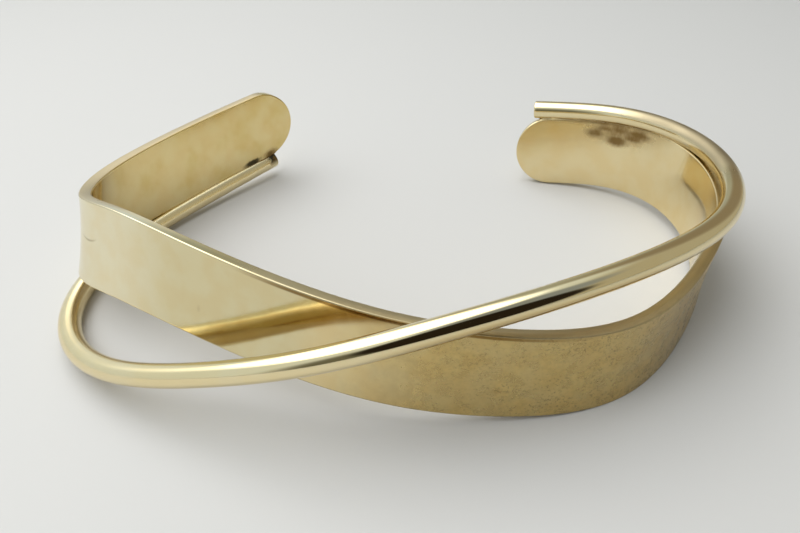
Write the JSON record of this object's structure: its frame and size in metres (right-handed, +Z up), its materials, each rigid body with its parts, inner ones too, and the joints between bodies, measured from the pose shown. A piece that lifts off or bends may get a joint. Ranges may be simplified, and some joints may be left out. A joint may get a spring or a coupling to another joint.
{
  "type": "crossover cuff bracelet",
  "caption": "Open cuff bracelet worn on the wrist: a flat band with round ends and a round wire that cross at the front, soldered together at both ends.",
  "frame": {"origin": "middle of the cuff's outline on the surface that it lies on", "axes": "+X across the wrist, to the right seen from the front; +Y to the back, where the cuff is open; +Z up from the surface, along the wrist that it would hold"},
  "size_m": [0.0721, 0.0505, 0.014],
  "materials": {
    "polished_brass": "polished pale gold tone, slightly hazy on the flat band, with brown heat stains at the solder"
  },
  "bodies": {
    "root": {"cuff": "polished_brass"}
  },
  "joints": []
}
